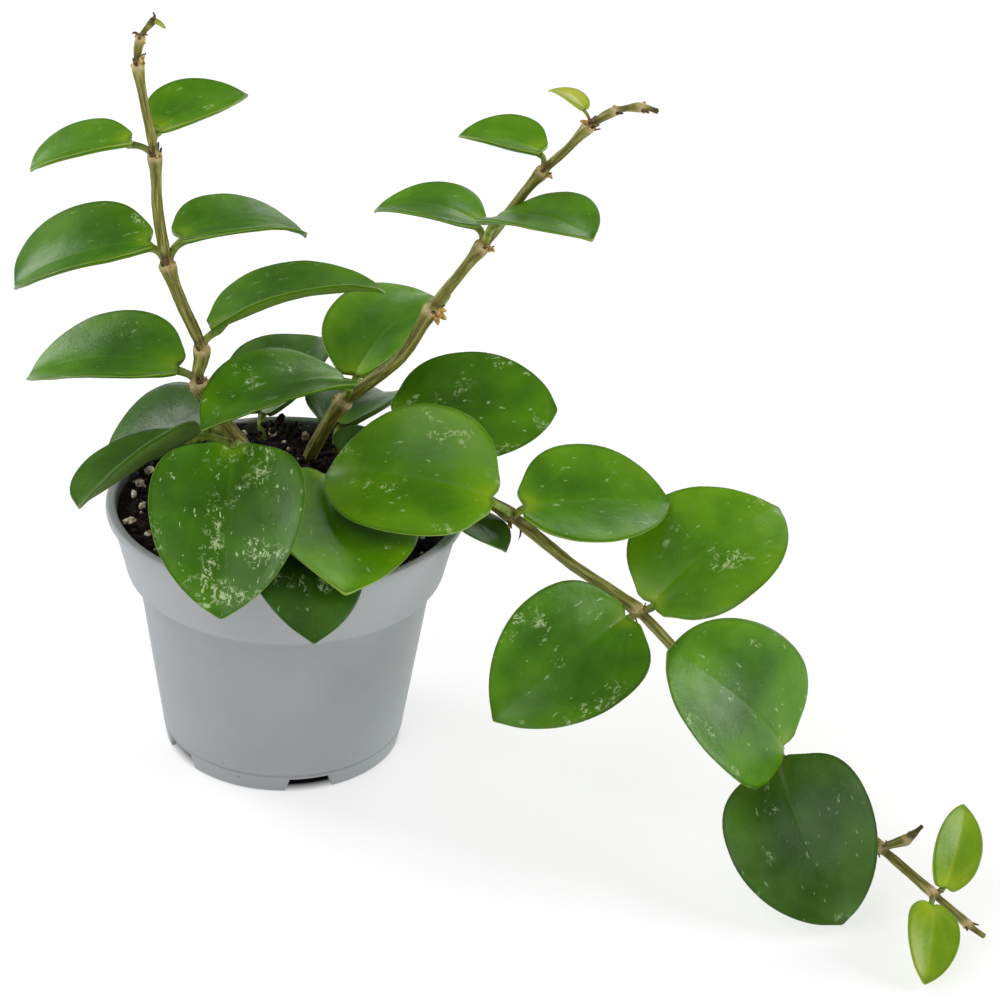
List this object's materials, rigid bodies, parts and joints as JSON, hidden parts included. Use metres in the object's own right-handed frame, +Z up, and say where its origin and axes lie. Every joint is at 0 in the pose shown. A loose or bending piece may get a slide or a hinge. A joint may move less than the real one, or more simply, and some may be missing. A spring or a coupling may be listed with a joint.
{
  "type": "potted hoya plant",
  "caption": "Young climbing hoya with thick oval leaves on three vines, one trailing, in a round grey nursery pot of soil.",
  "frame": {"origin": "centre of the pot's foot, on the surface that it stands on", "axes": "+Z up, -Y towards the pot's front with the big hanging leaves, the trailing vine leaves towards +X"},
  "size_m": [0.3216, 0.2227, 0.2537],
  "materials": {
    "pot_plastic": "satin moulded grey plastic",
    "soil": "loose dark potting soil, matt",
    "perlite": "rough cream grains",
    "bark": "rough red-brown bark",
    "stem": "olive-brown woody stem with pale streaks",
    "leaf_green": "thick waxy leaf, satin, pale flecks",
    "leaf_dark": "thick waxy leaf in dark green, satin",
    "leaf_young": "thick waxy leaf in light green, satin",
    "leaf_new": "new yellow-green leaf, satin"
  },
  "bodies": {
    "root": {"pot": "pot_plastic", "soil": "soil", "stem_left": "stem", "stem_right": "stem", "stem_trailing": "stem", "side_shoot": "stem", "leaf_left_1": "leaf_young", "leaf_left_2": "leaf_young", "leaf_left_3": "leaf_green", "leaf_left_4": "leaf_green", "leaf_left_5": "leaf_green", "leaf_left_6": "leaf_green", "leaf_left_7": "leaf_dark", "leaf_left_8": "leaf_dark", "leaf_left_9": "leaf_green", "leaf_right_1": "leaf_new", "leaf_right_2": "leaf_young", "leaf_right_3": "leaf_green", "leaf_right_4": "leaf_green", "leaf_right_5": "leaf_young", "leaf_right_6": "leaf_green", "leaf_trailing_1": "leaf_green", "leaf_trailing_2": "leaf_young", "leaf_trailing_3": "leaf_dark", "leaf_trailing_4": "leaf_young", "leaf_trailing_5": "leaf_young", "leaf_trailing_6": "leaf_green", "leaf_trailing_7": "leaf_green", "leaf_trailing_8": "leaf_dark", "leaf_trailing_9": "leaf_new", "leaf_trailing_10": "leaf_new", "leaf_front_1": "leaf_young", "leaf_front_2": "leaf_dark", "leaf_back_1": "leaf_dark", "leaf_back_2": "leaf_dark", "leaf_back_3": "leaf_dark", "perlite_01": "perlite", "perlite_02": "perlite", "perlite_03": "perlite", "perlite_04": "perlite", "perlite_05": "perlite", "perlite_06": "perlite", "perlite_07": "perlite", "perlite_08": "perlite", "perlite_09": "perlite", "perlite_10": "perlite", "perlite_11": "perlite", "perlite_12": "perlite", "bark_flake_1": "bark", "bark_flake_2": "bark"}
  },
  "joints": []
}
